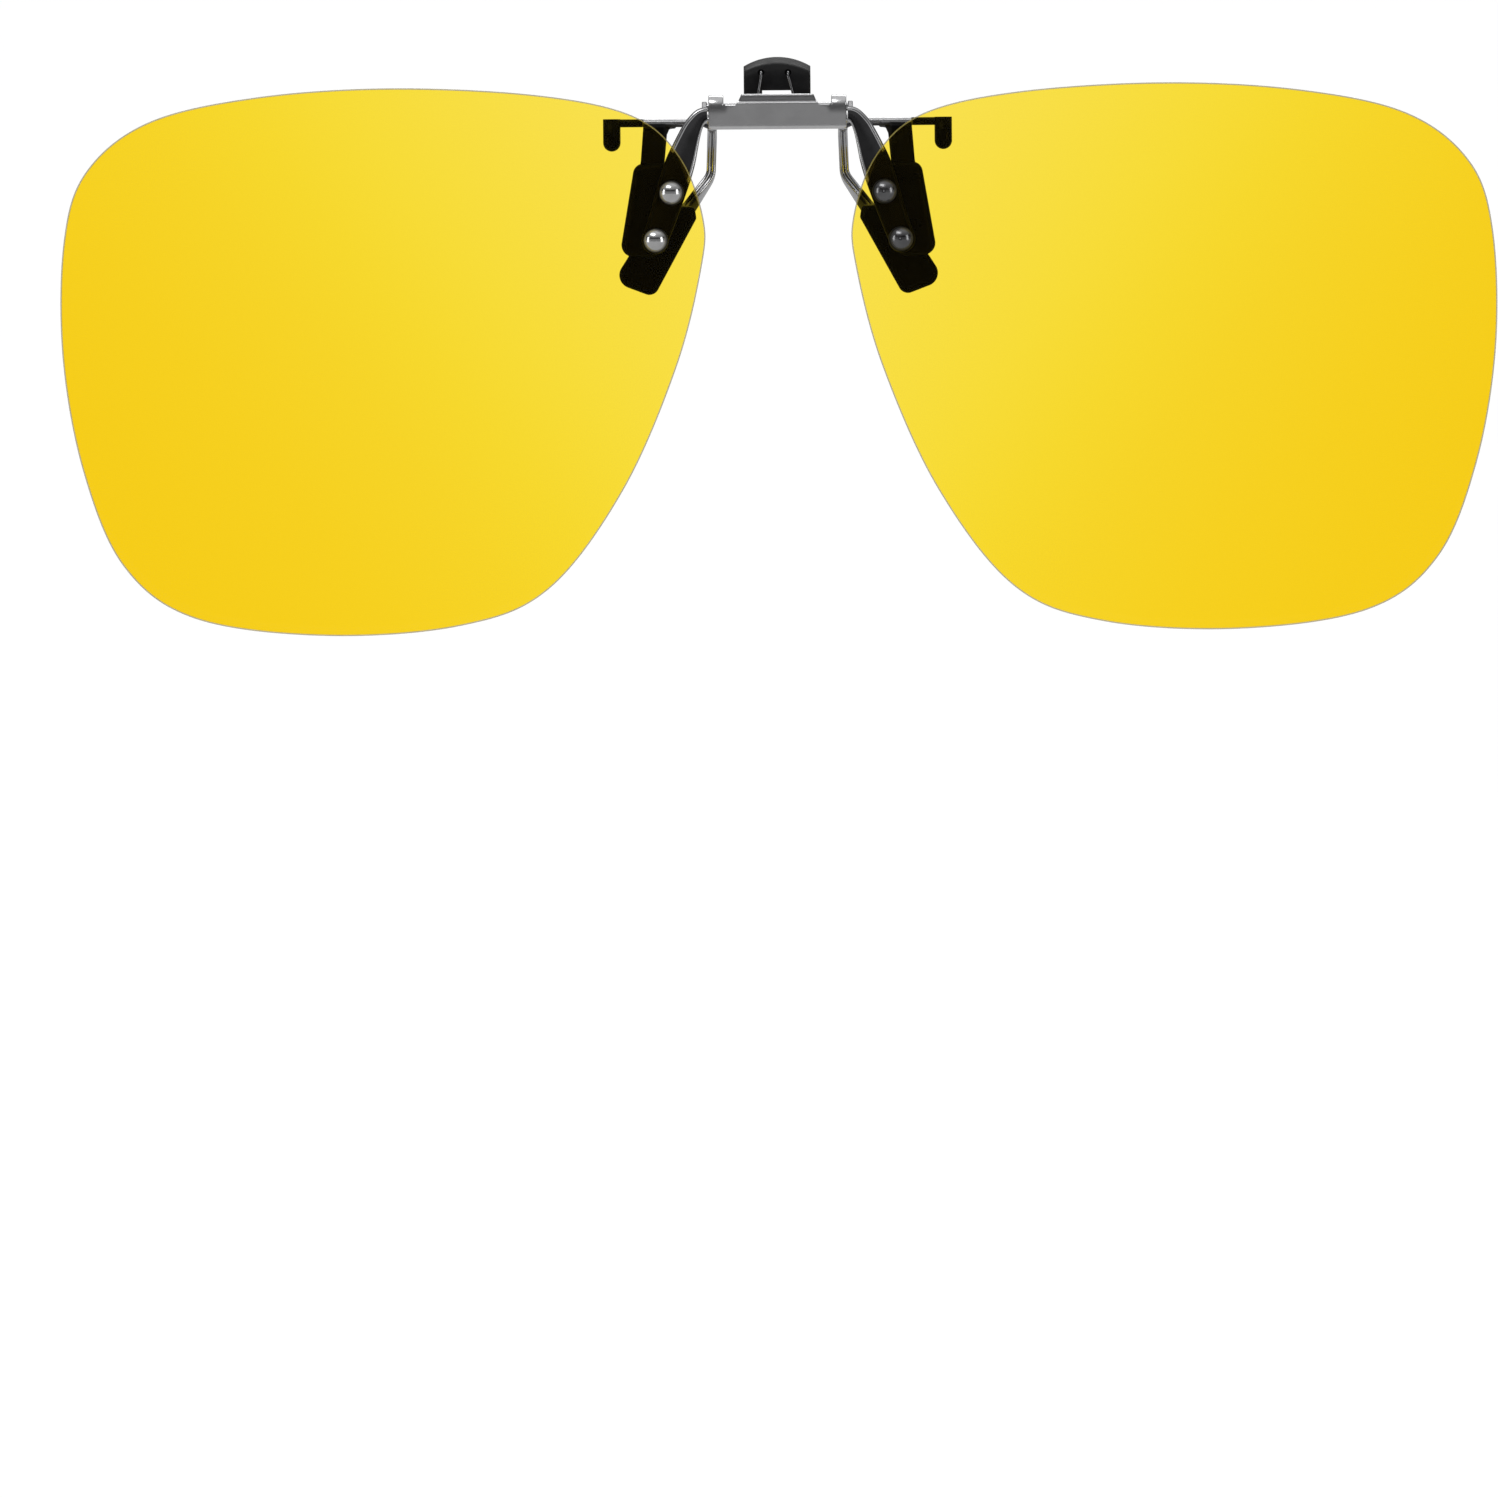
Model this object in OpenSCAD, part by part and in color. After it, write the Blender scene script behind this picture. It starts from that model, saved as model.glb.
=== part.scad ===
// Clip-on flip-up lenses: two lenses on a sprung clip that grips a pair of spectacles.
// X runs across the face, +Y points back towards the wearer, Z is up.
// The origin is the centre of the clamp rod, about which the rear jaw swings.

/* [Lenses] */
// Lens thickness
lens_t = 0.8; // [0.6:0.1:1.2]
// Radius of the cylinder each lens is bent to
lens_curve = 300; // [200:10:500]
// Height of the lens rear face in front of the clamp rod, at the rivets
lens_gap = 5.5; // [5.2:0.1:6.5]
// Diameter of the rivet holes in the lenses and arms
rivet_hole = 1.2; // [1.0:0.05:1.4]

/* [Front plate] */
// Width of the front plate
plate_w = 13.8; // [13:0.1:15]
// Front face of the plate, forward of the clamp rod
plate_front = 4.1; // [3.9:0.1:4.6]
// Sheet thickness of the plate and its bracket
sheet_t = 0.6; // [0.5:0.05:0.8]
// Outside diameter of the curled knuckles
knuckle_d = 2.4; // [2.2:0.05:2.6]

/* [Flip hinge] */
// Diameter of the shaft the lenses turn on
shaft_d = 0.9; // [0.8:0.05:1.0]
// Height of the flip shaft above the clamp rod
flip_z = 1.5; // [1.4:0.05:1.7]
// Distance of the flip shaft in front of the clamp rod
flip_y = 2.9; // [2.8:0.05:3.1]

/* [Clamp] */
// Diameter of the clamp rod
rod_d = 0.8; // [0.7:0.05:0.9]
// Distance between the centres of the two turned-down rod ends
rod_span = 33.2; // [31:0.1:36]
// Rear face of the front pads, forward of the clamp rod
front_grip = 2.1; // [1.9:0.1:2.6]
// Gap between the closed jaws
grip_gap = 0.4; // [0.3:0.1:0.8]
// Thickness of the rubber pads on both jaws
pad_t = 1.7; // [1.5:0.1:2.0]
// Radius of the bend that carries each rear claw round the spectacle bridge
claw_r = 4.65; // [4.2:0.05:5.2]

/* [Springs] */
// Spring wire diameter
wire_d = 0.3; // [0.25:0.01:0.35]
// Mean radius of the spring coils
coil_r = 0.62; // [0.58:0.01:0.7]
// Turns in each spring
coil_turns = 8; // [6:1:8]

/* [Hidden] */
// Clearance of a turning shaft in its bore
run = 0.05;
knuckle_r = knuckle_d / 2;
plate_back = plate_front - sheet_t;
lens_mid = 39.6;
rivet_mid = 11.5;
lens_back_r = lens_curve - lens_t;
lens_tilt = asin((lens_mid - rivet_mid) / lens_back_r);
lens_axis_y = lens_back_r * cos(lens_tilt) - lens_gap;
rivets = [[10.7, -7.05], [12.3, -11.8]];
arm_t = 0.7;
claw_x = 6.55;
claw_t = 0.95;
claw_w = 1.7;
claw_lean = 19.5;
coil_x = 2.35;
coil_pitch = 0.28;
rear_grip = front_grip - grip_gap;
hook_z = -2.82;
hook_d = 1.75;

// Points the lens outline passes through, right-hand lens.
lens_points = [
    [7.5, -9.5], [9.8, -3.4], [14.5, 0.7], [24, 2.8], [38.5, 3.6],
    [52, 2.8], [62.8, 0.4], [69.1, -4.5], [71.4, -11.5], [71.6, -23],
    [69.6, -34.5], [65.6, -44], [58.5, -49.2], [45.5, -51], [32, -50.1],
    [23.2, -46.5], [15.7, -36.7], [10.3, -24.5], [7.7, -14.5]
];

steel = [0.62, 0.62, 0.64];
rubber = [0.08, 0.08, 0.09];
yellow = [0.97, 0.83, 0.2];

// ---- helpers ----

// One point of a Catmull-Rom curve from b to c
function bend(a, b, c, d, t) =
    0.5 * (2 * b + (c - a) * t + (2 * a - 5 * b + 4 * c - d) * t * t
    + (3 * b - a - 3 * c + d) * t * t * t);

// A closed smooth curve through a list of points
function smooth(p, steps) =
    let (n = len(p))
    [for (i = [0 : n - 1]) for (k = [0 : steps - 1])
        bend(p[(i + n - 1) % n], p[i], p[(i + 1) % n], p[(i + 2) % n], k / steps)];

module mirrored(side) {
    mirror([side < 0 ? 1 : 0, 0, 0])
        children();
}

// Extrudes an outline drawn as (x, z) so that it runs from y0 back to y1.
module upright(y0, y1) {
    translate([0, y1, 0])
        rotate([90, 0, 0])
            linear_extrude(y1 - y0)
                children();
}

// Extrudes an outline drawn as (y, z) so that it runs from x0 to x1.
module sideways(x0, x1) {
    translate([x0, 0, 0])
        rotate([90, 0, 90])
            linear_extrude(x1 - x0)
                children();
}

// A round bar lying along X.
module bar(x0, x1, y, z, d) {
    translate([x0, y, z])
        rotate([0, 90, 0])
            cylinder(h = x1 - x0, d = d, $fn = 48);
}

// A round bar between two points.
module strut(a, b, d) {
    v = b - a;
    translate(a)
        rotate([0, acos(v[2] / norm(v)), atan2(v[1], v[0])])
            cylinder(h = norm(v), d = d, $fn = 32);
}

// A strip with round ends between two (x, z) points.
module slot(a, b, w) {
    hull() {
        translate(a)
            circle(d = w, $fn = 32);
        translate(b)
            circle(d = w, $fn = 32);
    }
}

// The lens rear face at the rivets: x across the face, y backwards, z up.
module at_lens() {
    translate([rivet_mid, -lens_gap, 0])
        rotate([0, 0, -lens_tilt])
            translate([-rivet_mid, 0, 0])
                children();
}

// ---- front plate and its bracket ----

module plate_outline() {
    difference() {
        translate([-plate_w / 2, -0.7])
            square([plate_w, 2.75]);
        for (s = [-1, 1]) {
            translate([s * 4.7, 2.05])
                scale([0.65, 0.6])
                    circle(r = 1, $fn = 32);
            translate([s * (plate_w / 2 - 0.75) - 0.8, flip_z])
                square([1.6, 1]);
        }
    }
}

module knuckle(side) {
    mirrored(side)
        difference() {
            union() {
                bar(plate_w / 2 - 1.5, plate_w / 2, -flip_y, flip_z, knuckle_d);
                translate([plate_w / 2 - 1.5, -plate_front, 0.4])
                    cube([1.5, sheet_t, flip_z - 0.4]);
            }
            bar(plate_w / 2 - 2, plate_w / 2 + 1, -flip_y, flip_z, shaft_d + 2 * run);
        }
}

module front_plate() {
    color(steel) {
        difference() {
            upright(-plate_front, -plate_back)
                plate_outline();
            bar(-8, 8, -flip_y, flip_z, shaft_d + 4 * run);
        }
        // Raised web along the top of the plate
        upright(-plate_front + 0.2, -plate_back)
            polygon([[-4.15, 1.5], [4.15, 1.5], [3.6, 2.8], [-3.6, 2.8]]);
        knuckle(-1);
        knuckle(1);
    }
}

module bracket_half() {
    // Ledge behind the foot of the plate
    translate([-0.1, -plate_back, -0.7])
        cube([13.5, 1.2, 0.55]);
    // Strip that carries the front pad
    upright(-3.35, -2.75)
        polygon([
            [10.95, -0.15], [13.4, -0.15], [13.7, -3.8], [15.0, -12.2],
            [12.8, -12.6], [11.3, -3.8]
        ]);
    // Lug the clamp rod turns in
    difference() {
        sideways(4.75, 5.3)
            hull() {
                circle(r = 0.68, $fn = 48);
                translate([-plate_back, -0.7])
                    square([0.6, 1.2]);
            }
        bar(4.5, 5.6, 0, 0, rod_d + 2 * run);
    }
}

module jaw_bracket() {
    color(steel) {
        bracket_half();
        mirror([1, 0, 0])
            bracket_half();
    }
}

module front_pad(side) {
    color(rubber)
        mirrored(side)
            difference() {
                upright(-front_grip - pad_t, -front_grip)
                    hull() {
                        translate([11.85, -5.0])
                            circle(r = 1.1, $fn = 32);
                        translate([13.15, -5.15])
                            circle(r = 1.1, $fn = 32);
                        translate([14.15, -12.3])
                            circle(r = 1.2, $fn = 32);
                        translate([12.9, -12.5])
                            circle(r = 1.0, $fn = 32);
                    }
                bracket_half();
            }
}

// ---- springs ----

// The upper leg hooks into the press tab, the lower one rests on the ledge.
module torsion_spring(side, tip_x, tip_z) {
    end_x = coil_x + (coil_turns - 1) * coil_pitch;
    color(steel)
        mirrored(side) {
            for (i = [0 : coil_turns - 1])
                translate([coil_x + i * coil_pitch, 0, 0])
                    rotate([0, 90, 0])
                        rotate_extrude($fn = 48)
                            translate([coil_r, 0])
                                circle(d = wire_d, $fn = 20);
            strut([coil_x, -coil_r, -0.1], [tip_x, -0.12, tip_z], wire_d);
            strut([tip_x, -0.16, tip_z], [tip_x, 0.55, tip_z + 0.1], wire_d);
            strut([end_x, 0, coil_r], [end_x, -3.2, 0.02], wire_d);
        }
}

// ---- lenses ----

module lens(side) {
    color(yellow)
        mirrored(side)
            difference() {
                intersection() {
                    upright(-lens_gap - 6, -lens_gap + 4)
                        polygon(smooth(lens_points, 8));
                    translate([lens_mid, lens_axis_y, -60])
                        difference() {
                            cylinder(h = 70, r = lens_curve, $fn = 360);
                            translate([0, 0, -1])
                                cylinder(h = 72, r = lens_back_r, $fn = 360);
                        }
                }
                at_lens()
                    rivet_bores();
            }
}

module rivet_bores() {
    for (p = rivets)
        translate([p[0], 4, p[1]])
            rotate([90, 0, 0])
                cylinder(h = 8, d = rivet_hole, $fn = 32);
}

module lens_arm(side) {
    color(steel)
        mirrored(side) {
            at_lens()
                difference() {
                    upright(0, arm_t)
                        arm_outline();
                    rivet_bores();
                }
            // Ear on the end of the flip shaft
            difference() {
                sideways(plate_w / 2 + 0.15, plate_w / 2 + 0.65)
                    hull() {
                        translate([-flip_y, flip_z])
                            circle(r = 0.56, $fn = 48);
                        translate([-lens_gap + 0.5, -0.15])
                            square([0.5, 1.6]);
                    }
                bar(plate_w / 2, plate_w / 2 + 1, -flip_y, flip_z, shaft_d);
            }
        }
}

module arm_outline() {
    polygon([
        [7.0, 1.5], [8.0, 1.2], [8.7, 0.6], [9.3, -0.1], [10.4, -2.1],
        [11.3, -3.9], [12.0, -6.3], [13.6, -11.4], [11.0, -12.2],
        [9.4, -7.4], [8.8, -5.6], [8.4, -3.8], [8.1, -1.8],
        [8.0, -0.7], [7.8, -0.2], [7.0, -0.2]
    ]);
    translate(rivets[1])
        circle(r = 1.36, $fn = 40);
}

module rivet(side, which) {
    p = rivets[which];
    color(steel)
        mirrored(side)
            at_lens()
                translate([p[0], 0, p[1]])
                    rotate([90, 0, 0])
                        rotate_extrude($fn = 48)
                            rivet_section();
}

// Half section of a rivet: domed head in front of the lens, flat tail behind the arm
module rivet_section() {
    difference() {
        translate([0, lens_t - 0.55])
            circle(r = 1.37, $fn = 64);
        translate([-3, -3])
            square([3, 6]);
        translate([0, -3])
            square([3, 3 + lens_t]);
    }
    translate([0, -arm_t - 0.3])
        square([rivet_hole / 2 - 0.02, arm_t + lens_t + 0.35]);
    translate([0, -arm_t - 0.35])
        square([0.95, 0.35]);
}

module flip_shaft() {
    color(steel)
        bar(-plate_w / 2 - 0.65, plate_w / 2 + 0.65, -flip_y, flip_z, shaft_d);
}

// ---- rear jaw ----

module rod_shape() {
    end = rod_span / 2;
    bar(-end, end, 0, 0, rod_d);
    for (s = [-1, 1]) {
        translate([s * end, 0, 0])
            sphere(d = rod_d, $fn = 48);
        translate([s * end, 0, hook_z + 0.5])
            cylinder(h = -hook_z - 0.5, d = rod_d, $fn = 48);
    }
}

module clamp_rod() {
    color(steel)
        rod_shape();
}

module hook_cap(side) {
    color(rubber)
        mirrored(side)
            difference() {
                translate([rod_span / 2, 0, 0])
                    rotate_extrude($fn = 48)
                        cap_section();
                rod_shape();
            }
}

// Half section of a dipped end: flat on top, round underneath
module cap_section() {
    r = hook_d / 2;
    translate([0, hook_z + r])
        square([r, 0.42 - hook_z - r]);
    intersection() {
        translate([0, hook_z + r])
            circle(r = r, $fn = 48);
        translate([0, hook_z])
            square([r, r]);
    }
}

// Barrel fixed on the rod, with a saddle plate that the press tab is moulded on
module tab_bracket_shape() {
    difference() {
        union() {
            bar(-1.8, 1.8, 0, 0, 1.42);
            translate([-1.8, 0.35, 0.3])
                cube([3.6, 0.6, 2.5]);
            translate([-3.0, 0.35, 1.5])
                cube([6, 0.6, 1.3]);
            for (s = [-1, 1])
                translate([s * 2.4 - 0.6, 0.35, 1.5])
                    cube([1.2, 0.6, 2.8]);
        }
        bar(-2, 2, 0, 0, rod_d);
    }
}

module tab_bracket() {
    color(steel)
        tab_bracket_shape();
}

module tab_face() {
    intersection() {
        translate([-3.4, 1.6])
            square([6.8, 5.5]);
        translate([0, 0.15])
            circle(r = 6.45, $fn = 96);
    }
}

module tab_profile() {
    polygon([
        [0, 1.6], [0, 5.0], [0.15, 5.5], [0.55, 5.95], [1.2, 6.25], [3.1, 6.75],
        [3.25, 6.3], [2.0, 5.85], [1.45, 5.35], [1.3, 4.6], [1.3, 1.6]
    ]);
}

module press_tab() {
    color(rubber)
        difference() {
            intersection() {
                upright(-1, 4)
                    tab_face();
                sideways(-4, 4)
                    tab_profile();
            }
            translate([-1.5, -1, 1])
                cube([3, 4, 2.2]);
            tab_bracket_shape();
            translate([-1.6, 1, 4.95])
                rotate([90, 0, 0])
                    cylinder(h = 2, d = 0.7, $fn = 24);
            translate([1.1, 1, 4.95])
                rotate([90, 0, 0])
                    cylinder(h = 2, d = 0.7, $fn = 24);
        }
}

// Part of the claw's C bend, in a plane square to X, clockwise from the top
module claw_bend(from, sweep, width) {
    rotate([0, 90, 0])
        rotate([0, 0, from])
            rotate_extrude(angle = sweep, $fn = 96)
                translate([claw_r - width / 2, -claw_t / 2])
                    square([width, claw_t]);
}

module claw_shape() {
    difference() {
        union() {
            bar(claw_x - claw_t / 2, claw_x + claw_t / 2, 0, 0, 1.8);
            translate([claw_x, 0, -claw_r]) {
                claw_bend(90, 90, claw_w);
                rotate([0, -claw_lean, 0]) {
                    claw_bend(0, 94, claw_w - 0.1);
                    translate([-claw_t / 2 + 0.03, -0.9, -claw_r - claw_w / 2 + 0.15])
                        cube([claw_t - 0.06, 1.2, claw_w - 0.3]);
                }
            }
        }
        bar(claw_x - 1, claw_x + 1, 0, 0, rod_d);
    }
    // Blade inside the rear pad
    upright(-1.2, -0.55)
        slot([8.9, -9.4], [13.4, -15.4], 1.7);
}

module rear_claw(side) {
    color(steel)
        mirrored(side)
            claw_shape();
}

module rear_pad(side) {
    color(rubber)
        mirrored(side)
            difference() {
                upright(-rear_grip, -rear_grip + pad_t)
                    hull() {
                        translate([8.75, -8.8])
                            circle(r = 0.45, $fn = 24);
                        translate([8.7, -9.5])
                            circle(r = 0.5, $fn = 24);
                        translate([11.4, -8.8])
                            circle(r = 0.6, $fn = 24);
                        translate([12.95, -16.2])
                            circle(r = 1.0, $fn = 32);
                        translate([14.4, -15.2])
                            circle(r = 1.35, $fn = 32);
                    }
                claw_shape();
            }
}

front_plate();
jaw_bracket();
front_pad(-1);  // front_pad_left
front_pad(1);  // front_pad_right
torsion_spring(-1, 1.6, 4.95);  // torsion_spring_left
torsion_spring(1, 1.1, 4.95);  // torsion_spring_right
flip_shaft();
lens_arm(-1);  // lens_arm_left
lens_arm(1);  // lens_arm_right
lens(-1);  // lens_left
lens(1);  // lens_right
rivet(-1, 0);  // rivet_left_upper
rivet(-1, 1);  // rivet_left_lower
rivet(1, 0);  // rivet_right_upper
rivet(1, 1);  // rivet_right_lower
clamp_rod();
hook_cap(-1);  // hook_cap_left
hook_cap(1);  // hook_cap_right
tab_bracket();
press_tab();
rear_claw(-1);  // rear_claw_left
rear_claw(1);  // rear_claw_right
rear_pad(-1);  // rear_pad_left
rear_pad(1);  // rear_pad_right
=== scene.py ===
import math

import bmesh
import bpy
from mathutils import Matrix, Vector


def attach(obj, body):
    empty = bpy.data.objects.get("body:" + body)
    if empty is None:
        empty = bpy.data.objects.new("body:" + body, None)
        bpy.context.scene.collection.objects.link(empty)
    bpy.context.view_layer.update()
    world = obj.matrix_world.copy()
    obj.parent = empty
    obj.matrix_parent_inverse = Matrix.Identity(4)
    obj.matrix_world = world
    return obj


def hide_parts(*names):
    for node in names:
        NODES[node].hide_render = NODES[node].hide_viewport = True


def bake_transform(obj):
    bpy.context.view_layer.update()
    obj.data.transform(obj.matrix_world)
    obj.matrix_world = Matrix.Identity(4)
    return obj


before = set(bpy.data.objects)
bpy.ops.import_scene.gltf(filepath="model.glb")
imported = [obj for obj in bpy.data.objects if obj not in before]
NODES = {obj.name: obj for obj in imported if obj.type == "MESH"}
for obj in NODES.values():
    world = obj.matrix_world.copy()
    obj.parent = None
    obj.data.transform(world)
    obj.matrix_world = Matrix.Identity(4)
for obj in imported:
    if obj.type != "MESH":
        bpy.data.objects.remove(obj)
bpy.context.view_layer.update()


MM = 0.001
SIDES = ((1, "right"), (-1, "left"))

# ------------------------------------------------------------------ materials

# Strength and depth (metres) of the bump on polished surfaces
FAINT, GRAIN_DEPTH = 0.02, 0.00003
# Rivet axes, as distances outboard and down
RIVETS = [(10.7, 7.05), (12.3, 11.8)]


def new_material(name):
    """An empty node material with its tree and output."""
    m = bpy.data.materials.new(name)
    m.use_nodes = True
    nt = m.node_tree
    nt.nodes.clear()
    return m, nt, nt.nodes.new("ShaderNodeOutputMaterial")


def principled(nt, out):
    p = nt.nodes.new("ShaderNodeBsdfPrincipled")
    nt.links.new(p.outputs["BSDF"], out.inputs["Surface"])
    return p


def feed(nt, socket, value):
    """Links a socket to another, or sets it to a plain value."""
    if isinstance(value, bpy.types.NodeSocket):
        nt.links.new(value, socket)
    elif value is not None:
        socket.default_value = value


def maths(nt, operation, a, b=None):
    n = nt.nodes.new("ShaderNodeMath")
    n.operation = operation
    feed(nt, n.inputs[0], a)
    feed(nt, n.inputs[1], b)
    return n.outputs["Value"]


def vector_maths(nt, operation, a, b=None, output="Vector"):
    n = nt.nodes.new("ShaderNodeVectorMath")
    n.operation = operation
    feed(nt, n.inputs[0], a)
    feed(nt, n.inputs[1], b)
    return n.outputs[output]


def mixed(nt, factor, a, b):
    """Colour a where the factor is 0 and b where it is 1."""
    n = nt.nodes.new("ShaderNodeMix")
    n.data_type = "RGBA"
    feed(nt, n.inputs["Factor"], factor)
    feed(nt, n.inputs["A"], a)
    feed(nt, n.inputs["B"], (*b, 1))
    return n.outputs["Result"]


def axes(nt, coords):
    n = nt.nodes.new("ShaderNodeSeparateXYZ")
    nt.links.new(coords, n.inputs["Vector"])
    return n.outputs


def noise(nt, coords, scale, detail=3.0, rough=0.5, stretch=None):
    if stretch is not None:
        mapping = nt.nodes.new("ShaderNodeMapping")
        mapping.inputs["Scale"].default_value = stretch
        nt.links.new(coords, mapping.inputs["Vector"])
        coords = mapping.outputs["Vector"]
    n = nt.nodes.new("ShaderNodeTexNoise")
    n.inputs["Scale"].default_value = scale
    n.inputs["Detail"].default_value = detail
    n.inputs["Roughness"].default_value = rough
    nt.links.new(coords, n.inputs["Vector"])
    return n.outputs["Fac"]


def ramp(nt, fac, stops):
    """Colour ramp from (position, colour or grey) stops."""
    r = nt.nodes.new("ShaderNodeValToRGB")
    els = r.color_ramp.elements
    while len(els) < len(stops):
        els.new(0.5)
    for e, (p, c) in zip(els, stops):
        e.position = p
        e.color = (*c, 1.0) if isinstance(c, tuple) else (c, c, c, 1.0)
    nt.links.new(fac, r.inputs["Fac"])
    return r.outputs["Color"]


def remap(nt, fac, a, b, c, d):
    """Maps a to b on to c to d, clamped."""
    r = nt.nodes.new("ShaderNodeMapRange")
    r.inputs["From Min"].default_value = a
    r.inputs["From Max"].default_value = b
    r.inputs["To Min"].default_value = c
    r.inputs["To Max"].default_value = d
    nt.links.new(fac, r.inputs["Value"])
    return r.outputs["Result"]


def bump(nt, height, strength, distance):
    b = nt.nodes.new("ShaderNodeBump")
    b.inputs["Strength"].default_value = strength
    b.inputs["Distance"].default_value = distance
    nt.links.new(height, b.inputs["Height"])
    return b.outputs["Normal"]


def object_coords(nt):
    return nt.nodes.new("ShaderNodeTexCoord").outputs["Object"]


def metal(name, dark, light, rough_lo, rough_hi, grain):
    """Plated or polished metal with faint polishing lines and patches."""
    m, nt, out = new_material(name)
    co = object_coords(nt)
    p = principled(nt, out)
    p.inputs["Metallic"].default_value = 1.0
    patch = noise(nt, co, 420.0, 3.0, 0.55)
    nt.links.new(ramp(nt, patch, [(0.32, dark), (0.68, light)]), p.inputs["Base Color"])
    lines = noise(nt, co, 1500.0, 4.0, 0.6, grain)
    nt.links.new(remap(nt, lines, 0.3, 0.7, rough_lo, rough_hi), p.inputs["Roughness"])
    nt.links.new(bump(nt, lines, FAINT, GRAIN_DEPTH), p.inputs["Normal"])
    return m


def rubber(name, dark, light, rough, spec):
    """Matt black moulding with a fine grain and rubbed patches."""
    m, nt, out = new_material(name)
    co = object_coords(nt)
    p = principled(nt, out)
    p.inputs["Specular IOR Level"].default_value = spec
    patch = noise(nt, co, 700.0, 3.0, 0.6)
    nt.links.new(ramp(nt, patch, [(0.3, dark), (0.7, light)]), p.inputs["Base Color"])
    nt.links.new(remap(nt, patch, 0.3, 0.7, rough - 0.05, rough + 0.07), p.inputs["Roughness"])
    nt.links.new(bump(nt, noise(nt, co, 5200.0, 3.0, 0.6), 0.10, 0.00004), p.inputs["Normal"])
    return m


SILVER = metal("polished_plate", (0.66, 0.66, 0.67), (0.73, 0.73, 0.74), 0.20, 0.25, (1, 1, 4))
WIRE = metal("spring_wire", (0.13, 0.13, 0.133), (0.20, 0.20, 0.205), 0.18, 0.28, (2, 2, 2))
RUBBER = rubber("black_rubber", (0.0006, 0.0006, 0.0007), (0.0020, 0.0020, 0.0022), 0.30, 0.035)
TAB = rubber("black_moulding", (0.010, 0.010, 0.0104), (0.017, 0.017, 0.0175), 0.42, 0.09)


def rivet_metal(name, low, high, foot, rough_lo, rough_hi):
    """Polished dome that darkens and dulls round its foot: the darkening is a painted shadow where the dome
    meets the lens.
    """
    m, nt, out = new_material(name)
    co = object_coords(nt)
    p = principled(nt, out)
    mirrored = vector_maths(nt, "ABSOLUTE", co)
    near = None
    for x, down in RIVETS:
        from_axis = vector_maths(nt, "SUBTRACT", mirrored, (x * MM, 0, down * MM))
        flat = vector_maths(nt, "MULTIPLY", from_axis, (1, 0, 1))
        distance = vector_maths(nt, "LENGTH", flat, output="Value")
        near = distance if near is None else maths(nt, "MINIMUM", near, distance)
    # painted shadow: near its foot the dome turns to the dark foot colour and stops reflecting
    dark = remap(nt, near, 0.88 * MM, 1.16 * MM, 0.0, 1.0)
    patch = noise(nt, co, 700.0, 3.0, 0.5)
    body = ramp(nt, patch, [(0.32, low), (0.68, high)])
    nt.links.new(mixed(nt, dark, body, foot), p.inputs["Base Color"])
    nt.links.new(remap(nt, dark, 0.0, 1.0, 1.0, 0.0), p.inputs["Metallic"])
    p.inputs["Specular IOR Level"].default_value = 0.08
    polished = remap(nt, patch, 0.3, 0.7, rough_lo, rough_hi)
    nt.links.new(maths(nt, "MAXIMUM", polished, remap(nt, dark, 0.3, 1.0, 0.0, 0.6)), p.inputs["Roughness"])
    nt.links.new(bump(nt, noise(nt, co, 2600.0, 3.0, 0.6), FAINT, GRAIN_DEPTH), p.inputs["Normal"])
    return m


# One rivet metal in two copies: the lighter left pair and the darker right pair are painted reflections of
# bright and dark surroundings, each with a painted shadow at its foot
BRIGHT = rivet_metal(
    "bright_rivet", (0.52, 0.52, 0.52), (0.62, 0.62, 0.62), (0.02, 0.02, 0.02), 0.12, 0.18)
DARK = rivet_metal(
    "shaded_copy_rivet", (0.11, 0.11, 0.113), (0.17, 0.17, 0.174), (0.012, 0.012, 0.012), 0.16, 0.24)


def shaded_behind_lens(name, bright_lo, bright_hi, lines, softness=0.25):
    """Plated metal painted black beyond every line given as (x, z, normal x, normal z): painted shade where
    the metal lies behind the lens.
    """
    m, nt, out = new_material(name)
    co = object_coords(nt)
    p = principled(nt, out)
    at = axes(nt, co)
    x = maths(nt, "ABSOLUTE", at["X"])
    inside = None
    for px, pz, nx, nz in lines:
        size = math.hypot(nx, nz)
        across = maths(nt, "MULTIPLY", maths(nt, "SUBTRACT", x, px * MM), nx / size)
        upward = maths(nt, "MULTIPLY", maths(nt, "SUBTRACT", at["Z"], pz * MM), nz / size)
        d = maths(nt, "ADD", across, upward)
        inside = d if inside is None else maths(nt, "MINIMUM", inside, d)
    wobble = remap(nt, noise(nt, co, 900.0, 2.0, 0.5), 0.0, 1.0, -0.1 * MM, 0.1 * MM)
    # painted shade: past the lines the colour turns black and the metal stops reflecting
    black = remap(nt, maths(nt, "ADD", inside, wobble), 0.0, softness * MM, 0.0, 1.0)
    bright = ramp(nt, noise(nt, co, 500.0, 3.0, 0.55), [(0.32, bright_lo), (0.68, bright_hi)])
    nt.links.new(mixed(nt, black, bright, (0.0014, 0.0014, 0.0016)), p.inputs["Base Color"])
    nt.links.new(remap(nt, black, 0, 1, 1.0, 0.0), p.inputs["Metallic"])
    nt.links.new(remap(nt, black, 0, 1, 0.2, 0.34), p.inputs["Roughness"])
    nt.links.new(bump(nt, noise(nt, co, 2500.0, 3.0, 0.6), FAINT, GRAIN_DEPTH), p.inputs["Normal"])
    p.inputs["Specular IOR Level"].default_value = 0.08
    return m


# Lens edge beside the arms: past it the arm metal is painted black, as painted shade behind the lens
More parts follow.
